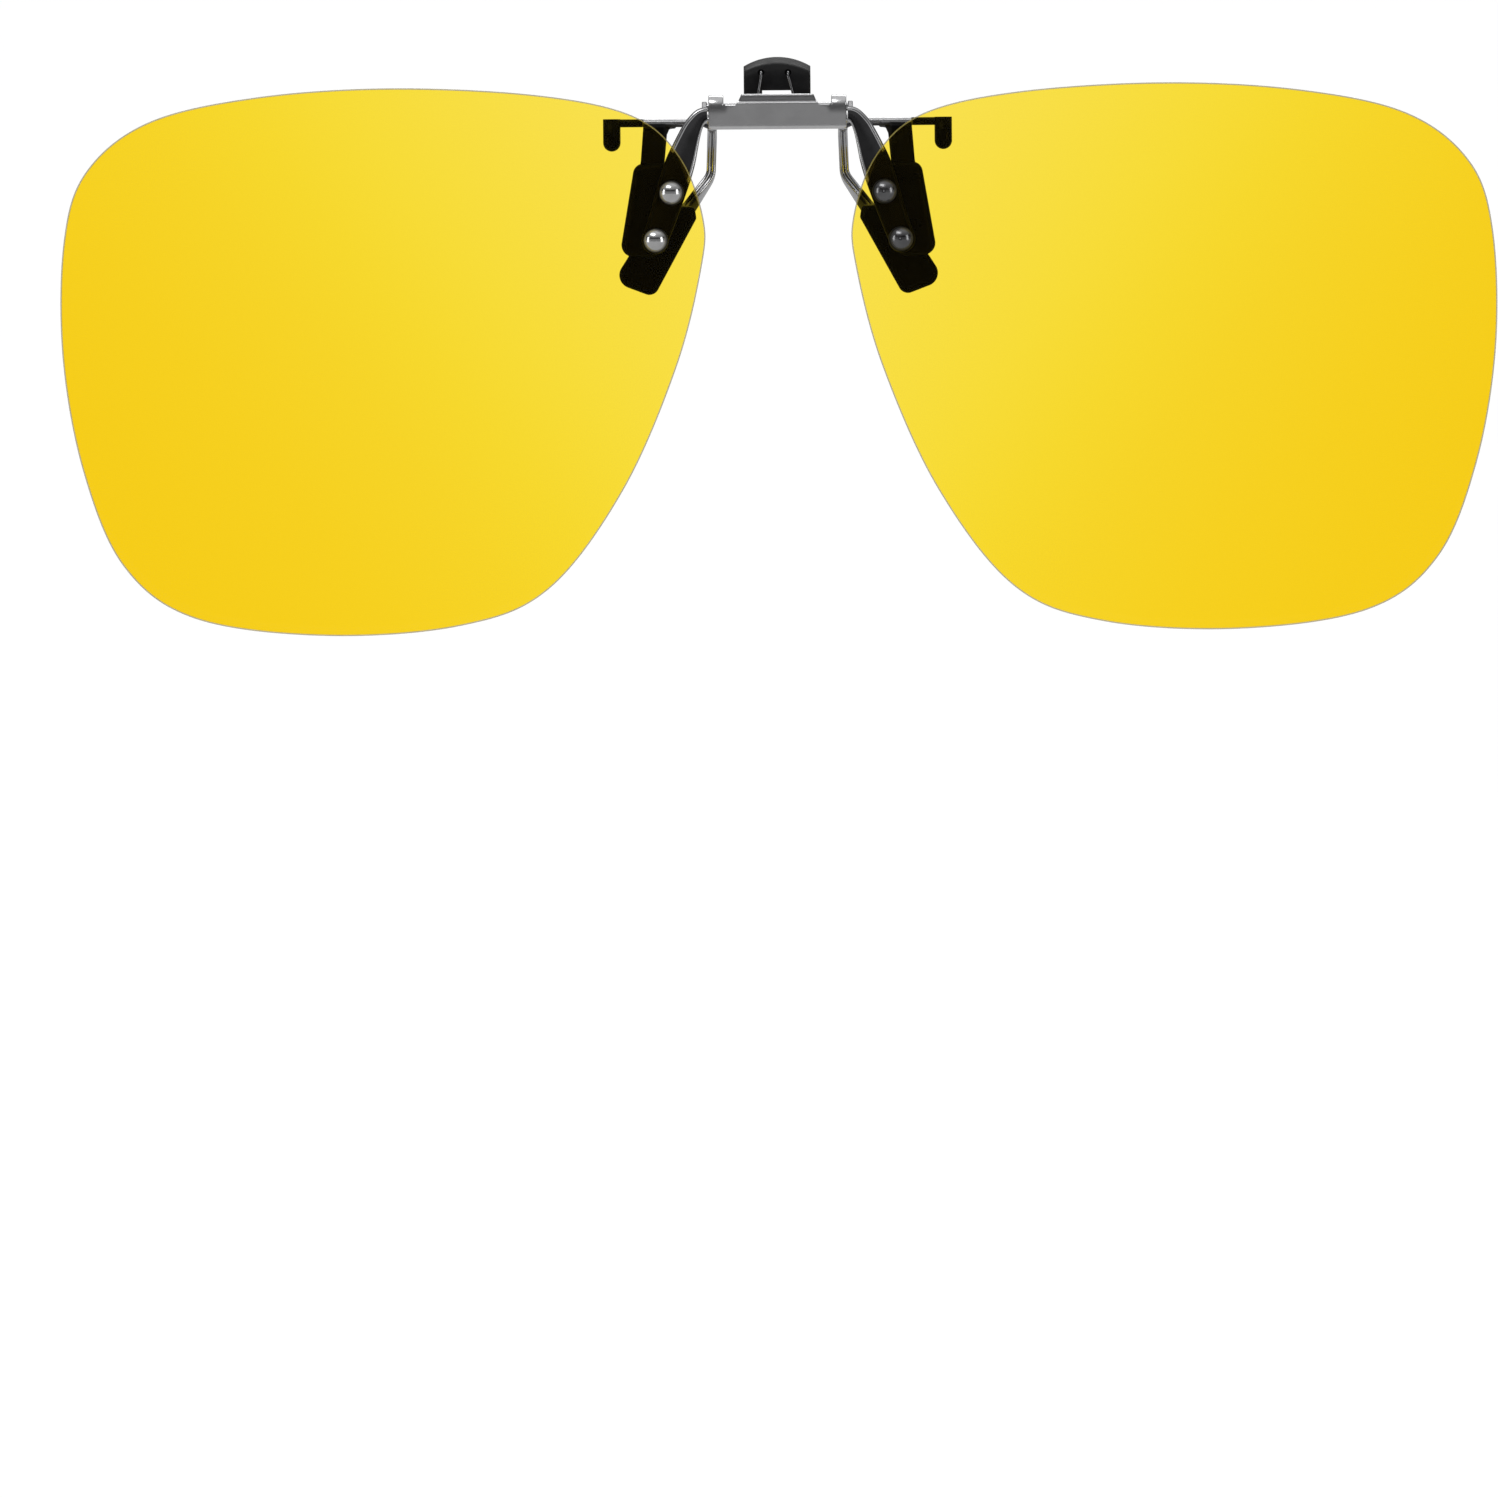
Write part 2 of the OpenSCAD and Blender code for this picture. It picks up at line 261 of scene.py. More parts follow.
UNDER_LENS = [(9.8, -3.4, 4.1, -4.7), (9.8, -3.4, 6.1, -2.2)]
# Rod ends, bracket tongues and claws are also painted black past their lines, as painted shade behind the
# lens
ROD = shaded_behind_lens("clamp_rod_metal", (0.56, 0.56, 0.57), (0.66, 0.66, 0.67), [(13.3, 0, 1, 0)])
BRACKET = shaded_behind_lens("bracket_metal", (0.10, 0.10, 0.103), (0.16, 0.16, 0.165), [(9.0, 0, 1, 0)], 2.5)
ARM = shaded_behind_lens("dark_plated_arm_shaded_behind_lens", (0.050, 0.050, 0.052), (0.075, 0.075, 0.078), UNDER_LENS)
CLAW = shaded_behind_lens("polished_strip_shaded_behind_lens", (0.44, 0.44, 0.45), (0.54, 0.54, 0.55), [(8.5, -6.42, 0.93, -0.367)], 0.2)
# Arm rims: brighter metal as a painted highlight, painted black with the arm behind the lens
EDGE = shaded_behind_lens("painted_highlight_edge", (0.50, 0.50, 0.51), (0.64, 0.64, 0.65), UNDER_LENS)


def lens_material():
    """Tinted sheet that shows what is behind it, with a faint gloss that wiping has dulled in places."""
    m, nt, out = new_material("yellow_lens")
    co = object_coords(nt)
    at = axes(nt, co)
    across = remap(nt, maths(nt, "ABSOLUTE", at["X"]), 8 * MM, 72 * MM, 0.0, 0.6)
    down = remap(nt, at["Z"], 4 * MM, -51 * MM, 0.0, 0.4)
    # light crosses the front face and the back face, so each stop is the square root of the tint
    tint = ramp(
        nt,
        maths(nt, "ADD", across, down),
        [(0.0, (0.974, 0.872, 0.30)), (0.185, (0.971, 0.859, 0.246)), (0.34, (0.967, 0.846, 0.195)),
         (0.45, (0.963, 0.829, 0.158)), (0.545, (0.962, 0.811, 0.138)), (0.68, (0.962, 0.795, 0.114)),
         (0.82, (0.960, 0.783, 0.098)), (1.0, (0.957, 0.775, 0.088))],
    )
    clear = nt.nodes.new("ShaderNodeBsdfTransparent")
    nt.links.new(tint, clear.inputs["Color"])
    gloss = nt.nodes.new("ShaderNodeBsdfGlossy")
    gloss.inputs["Color"].default_value = (1, 1, 1, 1)
    wiped = noise(nt, co, 160.0, 3.0, 0.6, (1.0, 1.0, 3.0))
    nt.links.new(remap(nt, wiped, 0.3, 0.7, 0.04, 0.10), gloss.inputs["Roughness"])
    nt.links.new(bump(nt, noise(nt, co, 320.0, 2.0, 0.5), FAINT, 0.00002), gloss.inputs["Normal"])
    fresnel = nt.nodes.new("ShaderNodeFresnel")
    fresnel.inputs["IOR"].default_value = 1.45
    mix = nt.nodes.new("ShaderNodeMixShader")
    nt.links.new(remap(nt, fresnel.outputs["Fac"], 0.0, 1.0, 0.0, 0.16), mix.inputs["Fac"])
    nt.links.new(clear.outputs["BSDF"], mix.inputs[1])
    nt.links.new(gloss.outputs["BSDF"], mix.inputs[2])
    nt.links.new(mix.outputs["Shader"], out.inputs["Surface"])
    return m


def rim_material(name, dark, light, alpha):
    """Cut edge of the lens, painted with the light that gathers in it, with faint turning marks."""
    m, nt, out = new_material(name)
    p = principled(nt, out)
    n = noise(nt, object_coords(nt), 900.0, 3.0, 0.5)
    nt.links.new(ramp(nt, n, [(0.3, dark), (0.7, light)]), p.inputs["Base Color"])
    nt.links.new(remap(nt, n, 0.3, 0.7, 0.18, 0.3), p.inputs["Roughness"])
    nt.links.new(bump(nt, n, 0.04, GRAIN_DEPTH), p.inputs["Normal"])
    p.inputs["Alpha"].default_value = alpha
    return m


LENS = lens_material()
# Painted light on the lens edges: a dim olive refraction line on the chamfers and a painted glow on the cut
# edge
RIM = rim_material("lens_chamfer", (0.30, 0.27, 0.10), (0.40, 0.36, 0.15), 0.42)
GLOW = rim_material("lens_cut_edge", (0.62, 0.50, 0.08), (0.75, 0.62, 0.14), 0.6)

# ------------------------------------------------------------------ helpers


def dress(name, material):
    """Gives a CAD node its material and smooth shading."""
    o = NODES[name]
    o.data.materials.clear()
    o.data.materials.append(material)
    for poly in o.data.polygons:
        poly.use_smooth = True
        poly.material_index = 0
    weld = o.modifiers.new("weld", "WELD")
    weld.merge_threshold = 0.000002
    nrm = o.modifiers.new("normals", "WEIGHTED_NORMAL")
    nrm.keep_sharp = True


def mesh_object(name, verts, faces, materials, indices=None):
    """Smooth-shaded object from vertices in millimetres; indices give each face's material."""
    me = bpy.data.meshes.new(name)
    me.from_pydata([Vector(v) * MM for v in verts], [], faces)
    for m in materials:
        me.materials.append(m)
    for i, poly in enumerate(me.polygons):
        poly.use_smooth = True
        if indices is not None:
            poly.material_index = indices[i]
    me.update()
    o = bpy.data.objects.new(name, me)
    bpy.context.scene.collection.objects.link(o)
    return o


def finish_normals(o):
    """Drops faces without area and turns all faces outwards."""
    bm = bmesh.new()
    bm.from_mesh(o.data)
    bmesh.ops.dissolve_degenerate(bm, dist=1e-7, edges=bm.edges)
    bmesh.ops.recalc_face_normals(bm, faces=bm.faces)
    bm.to_mesh(o.data)
    bm.free()


def tube(points, radius, sides):
    """Rings of a round wire along points, in millimetres."""
    pts = [Vector(p) for p in points]
    rings = []
    t0 = (pts[1] - pts[0]).normalized()
    ref = Vector((0, 0, 1)) if abs(t0.z) < 0.9 else Vector((1, 0, 0))
    u = t0.cross(ref).normalized()
    for i, p in enumerate(pts):
        a = pts[max(i - 1, 0)]
        b = pts[min(i + 1, len(pts) - 1)]
        t = (b - a).normalized()
        u = (u - t * u.dot(t)).normalized()
        w = t.cross(u)
        turns = [2 * math.pi * k / sides for k in range(sides)]
        rings.append([p + (u * math.cos(ang) + w * math.sin(ang)) * radius for ang in turns])
    return rings


def skin(rings, verts, faces):
    """Adds the surface through rings of equal length, with its two ends closed."""
    base, n = len(verts), len(rings[0])
    verts += [Vector(p) for ring in rings for p in ring]
    for i in range(len(rings) - 1):
        for j in range(n):
            a, b = base + i * n + j, base + i * n + (j + 1) % n
            faces.append((a, b, b + n, a + n))
    last = base + (len(rings) - 1) * n
    faces.append(tuple(range(base + n - 1, base - 1, -1)))
    faces.append(tuple(range(last, last + n)))


def catmull_rom(a, b, c, d, t):
    """Point between b and c on the curve through a, b, c and d."""
    return 0.5 * (2 * b + (c - a) * t + (2 * a - 5 * b + 4 * c - d) * t * t
                  + (3 * b - a - 3 * c + d) * t**3)


# ------------------------------------------------------------------ CAD nodes

dress("flip_shaft", SILVER)
dress("clamp_rod", ROD)
dress("hook_cap_left", RUBBER)
dress("hook_cap_right", RUBBER)
for which in ("upper", "lower"):
    dress("rivet_left_" + which, BRIGHT)
    dress("rivet_right_" + which, DARK)

# ------------------------------------------------------------------ lenses

LENS_POINTS = [
    (7.5, -9.5), (9.8, -3.4), (14.5, 0.7), (24, 2.8), (38.5, 3.6),
    (52, 2.8), (62.8, 0.4), (69.1, -4.5), (71.4, -11.5), (71.6, -23),
    (69.6, -34.5), (65.6, -44), (58.5, -49.2), (45.5, -51), (32, -50.1),
    (23.2, -46.5), (15.7, -36.7), (10.3, -24.5), (7.7, -14.5),
]
# Middle of a lens and of its rivets, radius of its curve, its thickness, and how far its back
# stands in front of the rod at the rivets
LENS_MID, RIVET_MID, CURVE, LENS_T, LENS_GAP = 39.6, 11.5, 300.0, 0.8, 5.5
LENS_MID_Z, CHAMFER = -23.5, 0.13
BACK_R = CURVE - LENS_T
AXIS_Y = math.sqrt(BACK_R**2 - (LENS_MID - RIVET_MID) ** 2) - LENS_GAP


def smooth_loop(points, steps):
    """Closed Catmull-Rom curve through 2D points."""
    n, out = len(points), []
    for i in range(n):
        corners = [Vector(points[(i + k) % n]) for k in (-1, 0, 1, 2)]
        out += [catmull_rom(*corners, k / steps) for k in range(steps)]
    return out


def lens_y(x, r):
    """Depth of a lens face of radius r, bent round an upright axis."""
    return AXIS_Y - math.sqrt(r * r - (x - LENS_MID) ** 2)


def build_lens(side, label):
    """Curved sheet with chamfered edges: rings shrink to a middle point on both faces."""
    loop = smooth_loop(LENS_POINTS, 16)
    n = len(loop)
    centre = Vector((LENS_MID, LENS_MID_Z))
    inward = []
    for i in range(n):
        t = (loop[(i + 1) % n] - loop[i - 1]).normalized()
        v = Vector((-t.y, t.x))
        inward.append(v if v.dot(centre - loop[i]) > 0 else -v)

    def ring(inset, scale, r, lift):
        pts = []
        for q, v in zip(loop, inward):
            w = centre + (q + v * inset - centre) * scale
            pts.append((w.x * side, lens_y(w.x, r) + lift, w.y))
        return pts

    scales = (0.2, 0.4, 0.6, 0.78, 0.9, 0.965, 1.0)
    rings = [ring(CHAMFER, k, CURVE, 0.0) for k in scales]
    rings += [
        ring(CHAMFER * 0.3, 1.0, CURVE, CHAMFER * 0.3),
        ring(0.0, 1.0, CURVE, CHAMFER),
        ring(0.0, 1.0, BACK_R, -CHAMFER),
        ring(CHAMFER * 0.3, 1.0, BACK_R, -CHAMFER * 0.3),
    ]
    rings += [ring(CHAMFER, k, BACK_R, 0.0) for k in reversed(scales)]
    # material of each band: front face, front chamfer, cut edge with the back chamfer, back face
    face, chamfer, cut = 0, 1, 2
    bands = [face] * (len(scales) - 1) + [chamfer] * 2 + [cut] * 3 + [face] * (len(scales) - 1)
    verts = [v for r in rings for v in r]
    faces, index = [], []
    for j, band in enumerate(bands):
        for i in range(n):
            a, b = j * n + i, j * n + (i + 1) % n
            faces.append((a, b, b + n, a + n))
            index.append(band)
    for base, r, flip in ((0, CURVE, True), ((len(rings) - 1) * n, BACK_R, False)):
        mid = len(verts)
        verts.append((centre.x * side, lens_y(centre.x, r), centre.y))
        for i in range(n):
            a, b = base + i, base + (i + 1) % n
            faces.append((a, mid, b) if flip else (b, mid, a))
            index.append(0)
    o = mesh_object("tinted_lens_" + label, verts, faces, [LENS, RIM, GLOW], index)
    finish_normals(o)
    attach(o, "lens_carrier")
    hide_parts("lens_right" if side > 0 else "lens_left")


for side, label in SIDES:
    build_lens(side, label)

# ------------------------------------------------------------------ springs

WIRE_R, COIL_R, COIL_X, PITCH, TURNS = 0.14, 0.55, 2.35, 0.28, 8
TIP_Z = 4.95
LEDGE_Y, LEDGE_Z = -3.2, 0.02


def build_spring(side, label, tip_x):
    """A close-wound coil on the rod: one leg up into the tab, one forward on to the ledge."""
    pts = [Vector((tip_x, 0.45, TIP_Z + 0.06)), Vector((tip_x, 0.12, TIP_Z + 0.03)),
           Vector((tip_x, -0.12, TIP_Z - 0.12))]
    top, start = Vector((tip_x, -0.14, TIP_Z - 0.3)), Vector((COIL_X, -COIL_R, 0.0))
    pts += [top.lerp(start, k / 9.0) for k in range(9)]
    # a quarter turn past the whole ones the coil is at its bottom, where the forward leg leaves it
    steps, turns = 28, TURNS - 1 + 0.25
    for k in range(int(steps * turns) + 1):
        a = 2 * math.pi * k / steps
        x = COIL_X + PITCH * k / steps * (TURNS - 1) / turns
        pts.append(Vector((x, -COIL_R * math.cos(a), -COIL_R * math.sin(a))))
    end = pts[-1]
    foot = Vector((end.x, LEDGE_Y, LEDGE_Z))
    pts += [end.lerp(foot, k / 8.0) for k in range(1, 9)]
    verts, faces = [], []
    skin(tube([(p.x * side, p.y, p.z) for p in pts], WIRE_R, 14), verts, faces)
    o = mesh_object("wound_spring_" + label, verts, faces, [WIRE])
    finish_normals(o)
    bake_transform(o)
    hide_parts("torsion_spring_right" if side > 0 else "torsion_spring_left")


build_spring(-1, "left", 1.6)
build_spring(1, "right", 1.1)

# ------------------------------------------------------------------ shared shapes


def rounded_section(half_a, half_b, r, n=4):
    """Corner-rounded rectangle, as (a, b) pairs going round."""
    pts = []
    for ca, cb, start in ((1, 1, 0), (-1, 1, 90), (-1, -1, 180), (1, -1, 270)):
        for k in range(n + 1):
            ang = math.radians(start + 90.0 * k / n)
            pts.append((ca * (half_a - r) + r * math.cos(ang), cb * (half_b - r) + r * math.sin(ang)))
    return pts


def ribbon(stations, r=0.1):
    """Rings for a strip: stations are (centre, across, thickness way, half width, half thickness)."""
    rings = []
    for c, u, v, hw, ht in stations:
        c, u, v = Vector(c), Vector(u), Vector(v)
        rings.append([c + u * a + v * b for a, b in rounded_section(hw, ht, min(r, hw, ht) * 0.98)])
    return rings


def spline(points, steps):
    """Open Catmull-Rom curve through 2D points."""
    p = [Vector(q) for q in points]
    out = []
    for i in range(len(p) - 1):
        a = p[i - 1] if i else p[0] * 2 - p[1]
        d = p[i + 2] if i + 2 < len(p) else p[-1] * 2 - p[-2]
        out += [catmull_rom(a, p[i], p[i + 1], d, k / steps) for k in range(steps)]
    out.append(p[-1])
    return out


def hull_ring(circles, inset, n=112):
    """Outline round a set of (u, v, radius) circles, moved inwards."""
    out = []
    for k in range(n):
        ang = 2 * math.pi * k / n
        nx, ny = math.cos(ang), math.sin(ang)
        cx, cy, r = max(circles, key=lambda c: c[0] * nx + c[1] * ny + c[2])
        r = max(r - inset, r * 0.06)
        out.append((cx + nx * r, cy + ny * r))
    return out


def pillow(circles, low, high, r, place, n=112):
    """Rings of a slab between low and high whose long edges are rounded over."""
    mid, half = (low + high) / 2, (high - low) / 2
    prof = []
    for k in range(0, 9):
        a = math.radians(-90 + 90.0 * k / 8)
        prof.append((r * (1 - math.cos(a)), mid - (half - r) + r * math.sin(a)))
    prof += [(inset, 2 * mid - level) for inset, level in reversed(prof)]
    return [[place(u, v, level) for u, v in hull_ring(circles, inset, n)] for inset, level in prof]


def joined(name, parts, material, body, replaced, sharp=40.0):
    """One object from several parts, each a list of rings; edges past the sharp angle stay crisp."""
    verts, faces = [], []
    for rings in parts:
        skin(rings, verts, faces)
    o = mesh_object(name, verts, faces, [material])
    finish_normals(o)
    o.data.set_sharp_from_angle(angle=math.radians(sharp))
    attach(o, body)
    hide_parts(replaced)


def along_x(u, v, level):
    """Places a slab's outline in the side view, with its thickness along x."""
    return (level, u, v)


def along_y(u, v, level):
    """Places a slab's outline in the front view, with its thickness along y."""
    return (u, level, v)


def sided(side, rings):
    """Rings of a right-hand shape, mirrored when side is -1."""
    return [[(p[0] * side, p[1], p[2]) for p in ring] for ring in rings]


# ------------------------------------------------------------------ front plate


# Axis of the flip shaft, outer radii of a knuckle, its bore, and the arc in degrees it is bent round
KNUCKLE_Y, KNUCKLE_Z, KNUCKLE_R, KNUCKLE_BORE = -2.9, 1.5, (1.1, 1.2), 0.62
KNUCKLE_START, KNUCKLE_SWEEP = 172, 292.0
# Stations across a knuckle, each with how far its edges are rounded there
KNUCKLE_ENDS = ((5.4, 0.12), (5.42, 0.06), (5.46, 0.02), (5.52, 0.0),
                (6.78, 0.0), (6.84, 0.02), (6.88, 0.06), (6.9, 0.12))


def plate_top(x):
    """Height of the plate's top edge: raised middle web, round notch beside it, low corner."""
    x = abs(x)
    web = 2.8 - max(0.0, x - 3.6) / 0.55 * 1.3
    face = 2.05
    if 4.05 < x < 5.35:
        face -= 0.6 * math.sqrt(max(0.0, 1 - ((x - 4.7) / 0.65) ** 2))
    if x >= 5.36:
        face = 1.7
    return max(web, face)


def plate_lean(x, y, z):
    """The upper corners lean back into the knuckles."""
    w = min(1.0, max(0.0, (abs(x) - 4.5) / 0.9))
    w = w * w * (3 - 2 * w) * min(1.0, (-3.5 - y) / 0.6)
    t = max(0.0, min(z, 1.55) - 0.45)
    return w * (0.085 * t * t + 0.187 * max(0.0, z - 1.55))


def plate_profile():
    """Side view as (y, z): rounded lower edge, front face, rounded shoulder, thinner web above."""
    prof = [(-3.5, -0.74)]
    for k in range(0, 9):
        a = math.radians(90 - 90.0 * k / 8)
        prof.append((-3.78 - 0.32 * math.cos(a), -0.42 - 0.32 * math.sin(a)))
    prof += [(-4.1, z) for z in (-0.2, 0.1, 0.45, 0.65, 0.85, 1.05, 1.25, 1.4, 1.55)]
    for k in range(0, 10):
        a = math.radians(80.0 * k / 9)
        prof.append((-3.88 - 0.22 * math.cos(a), 1.80 + 0.22 * math.sin(a)))
    prof += [(-3.90, 2.06), (-3.885, 2.14), (-3.86, 2.4), (-3.83, 2.64), (-3.79, 2.75), (-3.71, 2.8),
             (-3.57, 2.8), (-3.5, 2.74), (-3.5, 2.05), (-3.5, 1.0)]
    return prof


def plate_knuckle():
    """Open curl of sheet that holds the flip shaft at the right-hand corner."""
    rings = []
    for x, inset in KNUCKLE_ENDS:
        ring = []
        outside = (KNUCKLE_R[0] - inset, KNUCKLE_R[1] - inset)
        inside = (KNUCKLE_BORE + inset, KNUCKLE_BORE + inset)
        for (ry, rz), steps in ((outside, range(41)), (inside, range(40, -1, -1))):
            for k in steps:
                a = math.radians(KNUCKLE_START - KNUCKLE_SWEEP * k / 40)
                ring.append((x, KNUCKLE_Y + ry * math.cos(a), KNUCKLE_Z + rz * math.sin(a)))
        rings.append(ring)
    return rings


def build_plate():
    """The profile drawn out sideways and trimmed to the top edge, with a knuckle at each corner."""
    prof = plate_profile()
    xs = [6.9, 6.85, 6.6, 6.0, 5.5, 5.37, 5.36]
    xs += [4.7 + 0.64 * math.cos(math.radians(11.25 * k)) for k in range(17)]
    xs += [4.02, 3.94, 3.9, 3.8, 3.7, 3.6, 3.3, 2.7, 1.8, 0.9, 0.0]
    xs = xs + [-x for x in reversed(xs[:-1])]
    rings = []
    for x in xs:
        top = plate_top(x)
        soft = 0.05 if abs(x) > 6.88 else 0.0
        ring = []
        for y, z in prof:
            z = min(z, top)
            ring.append((x, y + (soft if y < -4.0 else 0.0) + plate_lean(x, y, z), z))
        rings.append(ring)
    parts = [rings] + [sided(side, plate_knuckle()) for side, _ in SIDES]
    joined("folded_front_plate", parts, SILVER, "clip_frame", "front_plate")


build_plate()

# ------------------------------------------------------------------ jaw bracket


# Inboard and outboard edge of a hanging tongue, as (height, x) going down
TONGUE_IN = [(0.0, 10.95), (-3.8, 11.3), (-12.6, 12.8)]
TONGUE_OUT = [(0.0, 13.4), (-3.8, 13.7), (-12.6, 15.05)]
# Half thickness of a tongue and of the ledge it hangs from
TONGUE_T, LEDGE_T = 0.29, 0.15
# Centre and radius of the bend between them
BEND_Y, BEND_Z, BEND_R = -2.65, -0.70, 0.40
# Ledge that the springs press on, as (x, z, half thickness)
LEDGE = ((-11.2, -0.3, 0.15), (-7.4, -0.3, 0.15), (-6.9, -0.42, 0.27),
         (6.9, -0.42, 0.27), (7.4, -0.3, 0.15), (11.2, -0.3, 0.15))
# Side view of a lug between the rod and the ledge, as (y, z, radius) circles
LUG = [(0.0, 0.0, 0.68), (-3.2, -0.45, 0.25), (-3.2, 0.2, 0.25)]


def between(z, table):
    """Value at height z in a table of (height, value) going down, or the last value outside it."""
    for (z0, v0), (z1, v1) in zip(table, table[1:]):
        if z <= z0 and z >= z1:
            return v0 + (v1 - v0) * (z0 - z) / (z0 - z1)
    return table[-1][1]


def tongue_path():
    """Side view of a tongue, as (y, z, degrees turned down): off the ledge, round the bend, down."""
    path = [(-2.3, -0.30, 0), (-2.6, -0.30, 0)]
    for k in range(9):
        turn = 90.0 * k / 8
        a = math.radians(turn)
        path.append((BEND_Y - BEND_R * math.sin(a), BEND_Z + BEND_R * math.cos(a), turn))
    path += [(-3.05, z, 90) for z in (-1.2, -1.8, -2.6, -3.8, -6.0, -8.5, -11.0, -12.3, -12.5)]
    return path


def build_bracket():
    """Ledge across the back of the plate, with a hanging tongue and a lug on each side."""
    parts = [ribbon([((x, -2.9, z), (0, 1, 0), (0, 0, 1), 0.6, half) for x, z, half in LEDGE])]
    for side, _ in SIDES:
        stations = []
        for y, z, turn in tongue_path():
            a = math.radians(turn)
            out_way = Vector((0, -math.sin(a), math.cos(a)))
            # the inboard edge runs into the ledge in a quarter round
            flare = max(0.0, 1.0 - (-0.3 - z) / 1.0)
            lo = between(z, TONGUE_IN) - 0.9 * (1 - math.sqrt(max(0.0, 1 - flare * flare)))
            hi = between(z, TONGUE_OUT)
            centre = ((lo + hi) / 2 * side, y, z)
            stations.append((centre, (side, 0, 0), out_way, (hi - lo) / 2, TONGUE_T if turn else LEDGE_T))
        parts.append(ribbon(stations, 0.12))
        parts.append(sided(side, pillow(LUG, 4.75, 5.3, 0.08, along_x, 64)))
    joined("bent_jaw_bracket", parts, BRACKET, "clip_frame", "jaw_bracket")


build_bracket()

# ------------------------------------------------------------------ rubber pads

# Outlines as (x, z, radius) circles that the rubber is stretched round
FRONT_PAD = [(11.85, -5.0, 1.1), (13.4, -5.15, 1.1), (14.5, -12.2, 1.2), (12.9, -12.5, 1.0)]
REAR_PAD = [(8.75, -8.8, 0.45), (8.7, -9.5, 0.5), (11.4, -8.8, 0.6),
            (12.95, -16.2, 1.0), (14.6, -15.2, 1.35)]

for side, label in SIDES:
    front = pillow(FRONT_PAD, -3.8, -2.1, 0.82, along_y)
    joined("front_sleeve_" + label, [sided(side, front)], RUBBER, "clip_frame",
           "front_pad_" + label, 50)
    rear = pillow(REAR_PAD, -1.7, 0.0, 0.62, along_y)
    joined("rear_sleeve_" + label, [sided(side, rear)], RUBBER, "rear_jaw",
           "rear_pad_" + label, 50)

# ------------------------------------------------------------------ lens arms

# Outboard edge going down and inboard edge going up, as (x, z)
ARM_SIDE_OUT = [(7.0, 1.52), (7.5, 1.47), (8.1, 1.2), (8.75, 0.6), (9.4, -0.25), (10.4, -2.1),
                (11.25, -3.9), (12.0, -6.3), (12.85, -9.3), (13.5, -11.2)]
ARM_SIDE_IN = [(11.0, -12.0), (10.2, -10.0), (9.3, -7.6), (8.58, -5.5), (8.17, -4.0), (7.94, -2.8),
               (7.68, -1.5), (7.46, -0.7), (7.28, -0.3), (7.0, -0.12)]
TILT = math.asin((LENS_MID - RIVET_MID) / BACK_R)
ARM_T = 0.7
# Round end about the lower rivet: centre, direction of the strip, direction across it, and radius
ARM_END, ARM_END_R = Vector((12.3, -11.8)), 1.36
ARM_WAY, ARM_CROSS = Vector((0.3, -0.954)), Vector((0.954, 0.3))
# Rolled rim, as (distance in from the edge, depth)
ARM_RIM = [(0.42, 0.03), (0.36, 0.0), (0.27, 0.0), (0.17, 0.04), (0.08, 0.12), (0.02, 0.22), (0.0, 0.35)]
# Side view of the ear on the flip shaft, as (y, z, radius) circles
ARM_EAR = [(-2.9, 1.5, 0.56), (-4.72, 1.1, 0.3), (-4.72, 0.15, 0.3)]


def resample(points, count):
    """Points spaced evenly along a curve."""
    lengths = [0.0]
    for a, b in zip(points, points[1:]):
        lengths.append(lengths[-1] + (b - a).length)
    out = []
    for k in range(count):
        want = lengths[-1] * k / (count - 1)
        i = max(j for j in range(len(points) - 1) if lengths[j] <= want + 1e-9)
        part = (want - lengths[i]) / (lengths[i + 1] - lengths[i])
        out.append(points[i].lerp(points[i + 1], part))
    return out


def arm_edges():
    """Pairs of opposite points on the outboard and inboard edge, going down."""
    outer = resample(spline(ARM_SIDE_OUT, 8), 44)
    inner = resample(list(reversed(spline(ARM_SIDE_IN, 8))), 44)
    pairs = list(zip(outer, inner))
    for k in range(1, 15):
        a = math.radians(-18 + 105.0 * k / 14)
        half = ARM_CROSS * ARM_END_R * math.cos(a)
        middle = ARM_END + ARM_WAY * ARM_END_R * math.sin(a)
        pairs.append((middle + half, middle - half))
    return pairs


def build_arm(side, label):
    """Flat strip with rolled rims, rounded off below the lower rivet, and an ear on the flip shaft."""
    ct, st = math.cos(TILT), math.sin(TILT)

    def place(p, depth):
        dx = p.x - RIVET_MID
        return (side * (RIVET_MID + dx * ct + depth * st), -LENS_GAP - dx * st + depth * ct, p.y)

    half = ARM_RIM + [(d, ARM_T - depth) for d, depth in reversed(ARM_RIM[:-1])]
    rings = []
    for a, b in arm_edges():
        w = (b - a).length
        u = (b - a).normalized()
        # both rims shrink together where the strip gets narrow
        k = min(1.0, w * 0.48 / 0.42)
        ring = [place(a + u * (d * k), depth) for d, depth in half]
        ring += [place(b - u * (d * k), depth) for d, depth in reversed(half)]
        rings.append(ring)
    verts, faces = [], []
    skin(rings, verts, faces)
    n = len(rings[0])
    # bands of faces on the front of both rims, given a brighter metal as a painted highlight
    highlight_faces = {0, 1, 2, 3, n - 5, n - 4, n - 3, n - 2}
    index = [1 if j in highlight_faces else 0 for _ in range(len(rings) - 1) for j in range(n)]
    skin(sided(side, pillow(ARM_EAR, 7.05, 7.55, 0.12, along_x, 72)), verts, faces)
    index += [0] * (len(faces) - len(index))
    o = mesh_object("lens_arm_strip_" + label, verts, faces, [ARM, EDGE], index)
    finish_normals(o)
    o.data.set_sharp_from_angle(angle=math.radians(45))
    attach(o, "lens_carrier")
    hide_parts("lens_arm_" + label)


# ------------------------------------------------------------------ rear claws

# Middle of a claw at the rod, its thickness and width, and the radius of its hook
CLAW_X, CLAW_T, CLAW_W, CLAW_R = 6.55, 0.95, 1.7, 4.65
# The groove in its edges fades out over this many steps, and is gone for this share of them at the tip
GROOVE_FADE, GROOVE_STOP = 18.0, 0.35


